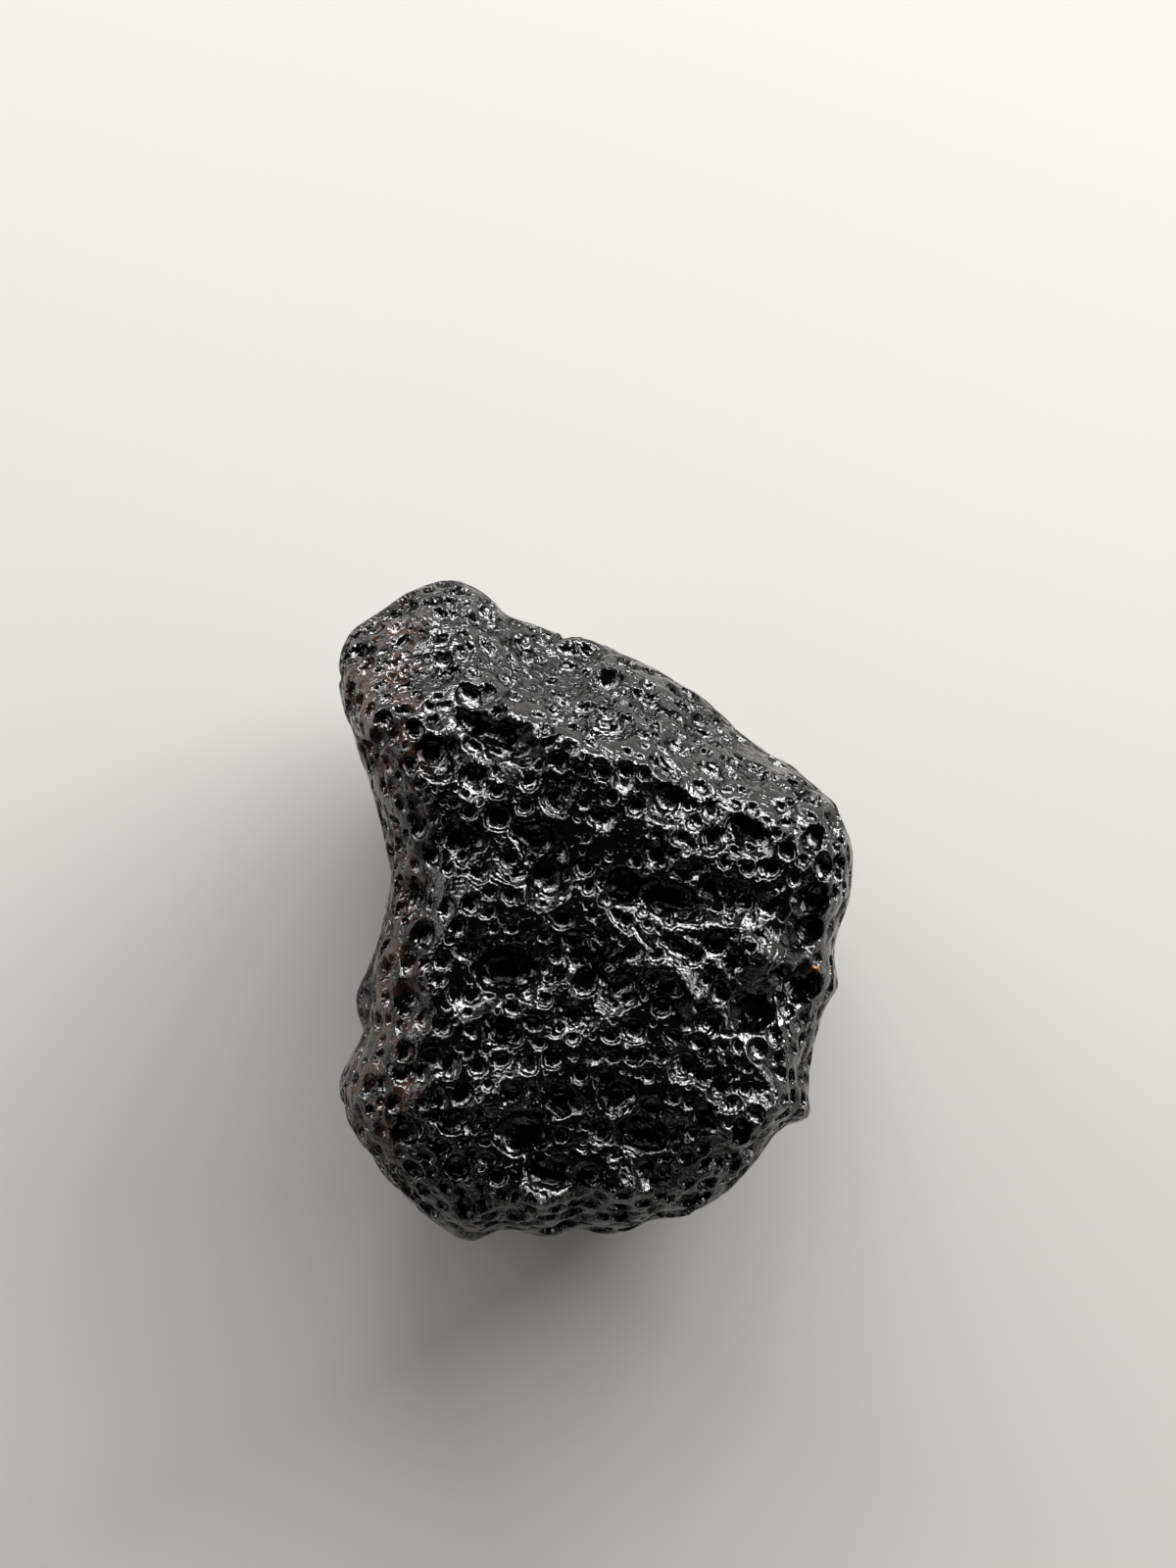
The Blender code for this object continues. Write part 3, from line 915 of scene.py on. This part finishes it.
    def level_around(self, tree: BVHTree, hollow: Hollow) -> tuple[Vector, Vector]:
        """Finds the plane of the surface around a hollow.

        Args:
            tree: The surface before it is cut.
            hollow: The hollow to be cut.

        Returns:
            The plane's point in the middle of the hollow, and its normal.
        """
        turn = math.radians(hollow.turn)
        hits = []
        for step in range(self.ring_points):
            angle = 2 * math.pi * step / self.ring_points
            along = hollow.length * self.ring_share * math.cos(angle)
            across = hollow.width * self.ring_share * math.sin(angle)
            x = hollow.x + along * math.cos(turn) - across * math.sin(turn)
            y = hollow.y + along * math.sin(turn) + across * math.cos(turn)
            hit = tree.ray_cast(Vector((x, y, self.above_stone)), Vector((0, 0, -1)))[0]
            if hit is not None:
                hits.append(hit)
        ring = np.array(hits)
        offsets = ring - (hollow.x, hollow.y, 0)
        grid = np.column_stack((offsets[:, :2], np.ones(len(ring))))
        (slope_x, slope_y, level), *_ = np.linalg.lstsq(grid, ring[:, 2], rcond=None)
        normal = Vector((-slope_x, -slope_y, 1.0)).normalized()
        return Vector((hollow.x, hollow.y, level)), normal

    def sink(
        self,
        surface: Surface,
        chosen: np.ndarray,
        centre: np.ndarray,
        axis: Vector,
        hollow: Hollow,
        edge: Edge,
    ) -> None:
        """Pushes chosen points over an oval hollow down onto its floor.

        Args:
            surface: The surface, changed in place.
            chosen: The indices of the points that may move.
            centre: The middle of the hollow's mouth.
            axis: The way out of the hollow.
            hollow: Its half sizes, turn and depth.
            edge: How steep its wall is.
        """
        turn = math.radians(hollow.turn)
        along = Vector((math.cos(turn), math.sin(turn), 0.0))
        if abs(axis.dot(along)) > NEARLY_PARALLEL:
            along = Vector((0.0, 0.0, 1.0))
        across = axis.cross(along).normalized()
        along = across.cross(axis).normalized()
        away = surface.points[chosen] - np.array(centre)
        height = away @ np.array(axis)
        away = away + surface.warp[chosen]
        share = np.hypot(
            away @ np.array(along) / hollow.length, away @ np.array(across) / hollow.width
        )
        inside = (share < 1) & (np.abs(height) < hollow.depth + hollow.length)
        cut = hollow.depth * edge.profile(share[inside])
        push = np.minimum(-cut - height[inside], 0)
        moved = chosen[inside]
        surface.points[moved] += push[:, None] * np.array(axis)
        surface.depth[moved] = np.maximum(surface.depth[moved], cut)

    def cut_hollow(self, surface: Surface, hollow: Hollow) -> None:
        """Cuts one of the face's own hollows.

        Args:
            surface: The surface, changed in place.
            hollow: The hollow.
        """
        centre, axis = self.level_around(surface.tree, hollow)
        points = surface.points
        reach = max(hollow.length, hollow.width) * self.hollow_reach_share + hollow.depth
        lowest = centre.z - self.hollow_depths_below * hollow.depth - self.hollow_margin_below
        near = np.flatnonzero(
            (np.abs(points[:, 0] - hollow.x) < reach)
            & (np.abs(points[:, 1] - hollow.y) < reach)
            & (points[:, 2] > lowest)
        )
        self.sink(surface, near, np.array(centre), axis, hollow, Edge.BOWL)

    def cut_groove(self, surface: Surface, groove: Groove) -> None:
        """Cuts one of the straight grooves.

        Args:
            surface: The surface, changed in place.
            groove: The groove.
        """
        run = Vector((groove.x2 - groove.x1, groove.y2 - groove.y1))
        middle = ((groove.x1 + groove.x2) / 2, (groove.y1 + groove.y2) / 2)
        turn = math.degrees(math.atan2(run.y, run.x))
        trough = Hollow(*middle, run.length / 2, groove.width / 2, turn, groove.depth)
        self.cut_hollow(surface, trough)

    def cut_scattered_pits(self, surface: Surface) -> None:
        """Cuts the small pits that cover the whole stone, the larger sizes first.

        Args:
            surface: The surface, changed in place.
        """
        points, smooth, normals = surface.points, surface.smooth, surface.normals
        lookup = self.lookup_of(smooth)
        chance = np.random.default_rng(self.pit_seed)
        cell = 2 * PIT_SIZES[0].most
        taken = self.named_places(smooth, cell)
        cut = 0
        for size in PIT_SIZES:
            for index in chance.integers(0, len(smooth), size.tries):
                radius = chance.uniform(size.least, size.most)
                share = chance.uniform(*size.depth_share)
                stretch = chance.uniform(*self.pit_stretch)
                turn = chance.uniform(0, 180)
                stepped = chance.random() < self.step_chance
                place = smooth[index]
                if noise.noise(Vector(place) / self.bare_size) < self.bare_below:
                    continue
                home = tuple(np.floor(place / cell).astype(int))
                if self.crowded(taken, home, place, radius):
                    continue
                taken.setdefault(home, []).append((place, radius))
                near = lookup.find_range(place, radius * self.pit_reach_share)
                chosen = np.array([found[1] for found in near])
                axis = Vector(normals[index])
                away = points[chosen] - points[index]
                height = away @ normals[index]
                flat = np.linalg.norm(away - height[:, None] * normals[index], axis=1) / radius
                rim = (flat > self.rim_band[0]) & (flat < self.rim_band[1])
                level = height[rim].mean() if rim.any() else 0.0
                centre = points[index] + normals[index] * level
                form = Hollow(0, 0, radius, radius * stretch, turn, radius * share)
                edge = Edge.STEPPED if stepped and radius > PIT_SIZES[1].most else Edge.STEEP
                self.sink(surface, chosen, centre, axis, form, edge)
                cut += 1
        log.info("scattered pits: %d", cut)

    def named_places(
        self, smooth: np.ndarray, cell: float
    ) -> dict[tuple[int, int, int], list[tuple[np.ndarray, float]]]:
        """Marks the face's own small hollows as taken, so that scattered pits keep off them.

        Args:
            smooth: The points before any cut.
            cell: The size of a lookup cell.

        Returns:
            The taken places, by the cell they are in.
        """
        taken: dict[tuple[int, int, int], list[tuple[np.ndarray, float]]] = {}
        face = smooth[smooth[:, 2] > self.face_from]
        for hollow in FACE_HOLLOWS:
            far = np.hypot(face[:, 0] - hollow.x, face[:, 1] - hollow.y)
            place = face[np.argmin(far)]
            home = tuple(np.floor(place / cell).astype(int))
            radius = min(hollow.length, hollow.width) * self.hollow_rim_share
            taken.setdefault(home, []).append((place, radius))
        return taken

    def crowded(
        self,
        taken: dict[tuple[int, int, int], list[tuple[np.ndarray, float]]],
        home: tuple[int, int, int],
        place: np.ndarray,
        radius: float,
    ) -> bool:
        """Says whether a pit would run too far into one that is there.

        Args:
            taken: The pits so far, by the cell they are in.
            home: The new pit's cell.
            place: The new pit's middle.
            radius: Its radius.

        Returns:
            True where it is too close.
        """
        for dx in (-1, 0, 1):
            for dy in (-1, 0, 1):
                for dz in (-1, 0, 1):
                    for other, size in taken.get((home[0] + dx, home[1] + dy, home[2] + dz), ()):
                        if np.linalg.norm(place - other) < self.spacing_share * (radius + size):
                            return True
        return False

    def thin(self, stone: bpy.types.Object) -> None:
        """Collapses triangles until the stone is within its limit, fewer of them on the face.

        Args:
            stone: The cut stone.
        """
        points = self.points_of(stone.data)
        group = stone.vertex_groups.new(name="back")
        height = points[:, 2] / points[:, 2].max()
        for band in range(self.height_bands):
            low, high = band / self.height_bands, (band + 1) / self.height_bands
            rows = np.flatnonzero((height >= low) & (height < high))
            group.add(rows.tolist(), 1.0 - low, "REPLACE")
        collapse = stone.modifiers.new("collapse", "DECIMATE")
        collapse.vertex_group = group.name
        collapse.vertex_group_factor = self.face_share
        collapse.ratio = self.triangles / (2 * len(stone.data.polygons))
        collapse.use_collapse_triangulate = True
        self.apply_modifiers(stone)
        stone.vertex_groups.clear()
        log.info("thinned mesh: %d faces", len(stone.data.polygons))

    def place(self, stone: bpy.types.Object) -> None:
        """Puts the stone where its solid is, in metres, and dresses it.

        Args:
            stone: The finished mesh, in millimetres.
        """
        stone.data.transform(Matrix.Scale(1 / MM_PER_METRE, 4))
        stone.data.shade_smooth()
        stone.data.materials.clear()
        stone.data.materials.append(NaturalGlass().material())
        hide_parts(STONE_NODE)
        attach(stone, STONE_BODY)


@dataclass(frozen=True)
class Softbox:
    """A soft light panel, placed round the stone by its direction."""

    name: str
    azimuth: float
    elevation: float
    distance: float
    width: float
    height: float
    radiance: float

    def build(self, target: Vector) -> bpy.types.Object:
        """Makes the light and turns it to the target.

        Args:
            target: What it lights.

        Returns:
            The light.
        """
        light = bpy.data.lights.new(self.name, "AREA")
        light.shape = "RECTANGLE"
        light.size, light.size_y = self.width, self.height
        light.energy = self.radiance * math.pi * self.width * self.height
        panel = bpy.data.objects.new(self.name, light)
        azimuth, elevation = math.radians(self.azimuth), math.radians(self.elevation)
        way = Vector((
            math.cos(azimuth) * math.cos(elevation),
            math.sin(azimuth) * math.cos(elevation),
            math.sin(elevation),
        ))
        panel.location = target + way * self.distance
        panel.rotation_euler = way.to_track_quat("Z", "Y").to_euler()
        bpy.context.scene.collection.objects.link(panel)
        return panel


@dataclass
class Studio:
    """The pale floor, the soft lights and the camera that looks straight down."""

    camera_height: float = 0.155
    girdle_height: float = 0.005
    pixel: float = 0.000032
    stone_middle_px: tuple[float, float] = (604.0, 928.0)
    sensor: float = 36.0
    clip: tuple[float, float] = (0.001, 10.0)
    floor_radius: float = 1.3
    floor_sides: int = 96
    floor_colour: str = "#a5a3a0"
    floor_roughness: float = 0.9
    floor_specular: float = 0.2
    sky_colour: str = "#ffffff"
    sky_low: float = 0.15
    sky_high: float = 0.01
    sky_turns: tuple[float, float] = (0.1, 0.6)
    lights: tuple[Softbox, ...] = (
        Softbox("window_left", 132, 22, 0.30, 0.20, 0.06, 20.0),
        Softbox("window_middle", 90, 22, 0.30, 0.20, 0.06, 44.0),
        Softbox("window_right", 48, 22, 0.30, 0.20, 0.06, 52.0),
        Softbox("upper_strip", 80, 44, 0.40, 0.30, 0.03, 4.0),
        Softbox("left_side", 172, 24, 0.30, 0.14, 0.05, 5.0),
        Softbox("right_side", 8, 24, 0.30, 0.14, 0.05, 14.0),
        Softbox("low_fill", -90, 25, 0.35, 0.2, 0.05, 1.5),
    )

    def build(self) -> None:
        """Makes the whole studio."""
        target = (CAD_BOX[0] + CAD_BOX[1]) / 2
        for light in self.lights:
            light.build(target)
        self.floor()
        self.sky()
        self.camera()
        bpy.context.scene.view_settings.view_transform = "Standard"

    def floor(self) -> None:
        """Makes the plain pale floor that the stone lies on."""
        grid = bmesh.new()
        bmesh.ops.create_circle(
            grid, cap_ends=True, segments=self.floor_sides, radius=self.floor_radius
        )
        mesh = bpy.data.meshes.new("floor")
        grid.to_mesh(mesh)
        grid.free()
        floor = bpy.data.objects.new("floor", mesh)
        bpy.context.scene.collection.objects.link(floor)
        # Pressed paper scatters the light evenly, so the floor shows no gloss.
        paper = bpy.data.materials.new("matt_paper_pressed")
        paper.use_nodes = True
        shader = paper.node_tree.nodes["Principled BSDF"]
        shader.inputs["Base Color"].default_value = linear(self.floor_colour)
        shader.inputs["Roughness"].default_value = self.floor_roughness
        shader.inputs["Specular IOR Level"].default_value = self.floor_specular
        mesh.materials.append(paper)

    def sky(self) -> None:
        """Makes the surroundings: pale at the horizon and dark overhead."""
        world = bpy.data.worlds.new("studio_room")
        world.use_nodes = True
        tree = world.node_tree
        way = add_node(tree, "ShaderNodeTexCoord").outputs["Generated"]
        up = add_node(tree, "ShaderNodeSeparateXYZ", {}, {0: way}).outputs["Z"]
        strength = add_node(
            tree,
            RANGE,
            SMOOTH_RANGE,
            {
                "Value": up,
                "From Min": self.sky_turns[0],
                "From Max": self.sky_turns[1],
                "To Min": self.sky_low,
                "To Max": self.sky_high,
            },
        ).outputs[0]
        tree.links.new(strength, tree.nodes["Background"].inputs["Strength"])
        tree.nodes["Background"].inputs["Color"].default_value = linear(self.sky_colour)
        bpy.context.scene.world = world

    def camera(self) -> None:
        """Makes the camera that looks straight down on the face, as the photograph does."""
        view = bpy.data.cameras.new("camera")
        height = self.camera_height - self.girdle_height
        view.sensor_width = self.sensor
        view.sensor_fit = "AUTO"
        view.lens = self.sensor * height / (IMAGE_HEIGHT_PX * self.pixel)
        view.clip_start, view.clip_end = self.clip
        camera = bpy.data.objects.new("camera", view)
        camera.location = (
            (IMAGE_WIDTH_PX / 2 - self.stone_middle_px[0]) * self.pixel,
            (self.stone_middle_px[1] - IMAGE_HEIGHT_PX / 2) * self.pixel,
            self.camera_height,
        )
        bpy.context.scene.collection.objects.link(camera)
        bpy.context.scene.camera = camera


def main() -> None:
    """Builds the studio and the stone, and reports each piece."""
    logging.basicConfig(level=logging.INFO, format="%(message)s")
    Studio().build()
    log.info("studio: built")
    stone = TektiteStone().build()
    log.info("%s: %d triangles", stone.name, len(stone.data.polygons))


if __name__ == "__main__":
    main()
